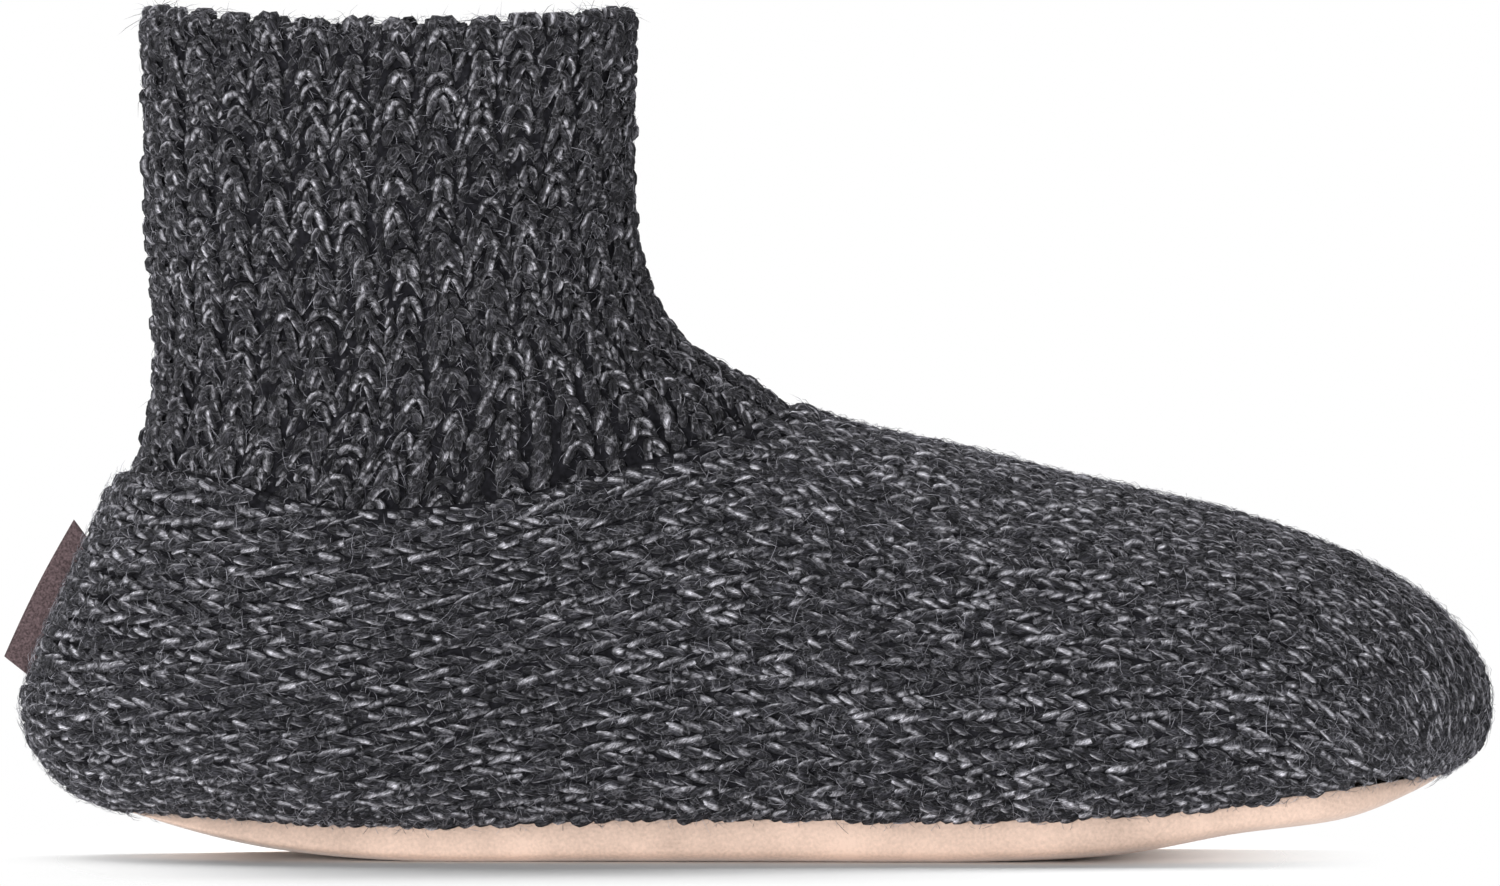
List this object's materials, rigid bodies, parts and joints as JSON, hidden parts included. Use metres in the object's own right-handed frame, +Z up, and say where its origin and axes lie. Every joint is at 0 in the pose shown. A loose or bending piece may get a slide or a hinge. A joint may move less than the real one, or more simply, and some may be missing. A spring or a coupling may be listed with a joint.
{
  "type": "wool slipper",
  "caption": "Knitted wool slipper with a ribbed ankle shaft, a stockinette foot, a soft suede sole and a bare folded label at the heel.",
  "frame": {"origin": "bottom centre of the bounding box, on the floor that the sole stands on", "axes": "+X towards the toe, +Y towards the inner side of the foot, +Z up"},
  "size_m": [0.2851, 0.1026, 0.1634],
  "materials": {
    "upper": "charcoal marl wool in stockinette, matt and slightly fuzzy",
    "shaft": "charcoal marl wool in rib knit, matt and slightly fuzzy",
    "sole": "pale tan suede with a short nap",
    "insole": "dark brushed lining over a soft pad",
    "heel_label": "brown woven tape, folded, with nothing on it"
  },
  "bodies": {
    "root": {"upper": "upper", "shaft": "shaft", "sole": "sole", "insole": "insole", "heel_label": "heel_label"}
  },
  "joints": []
}
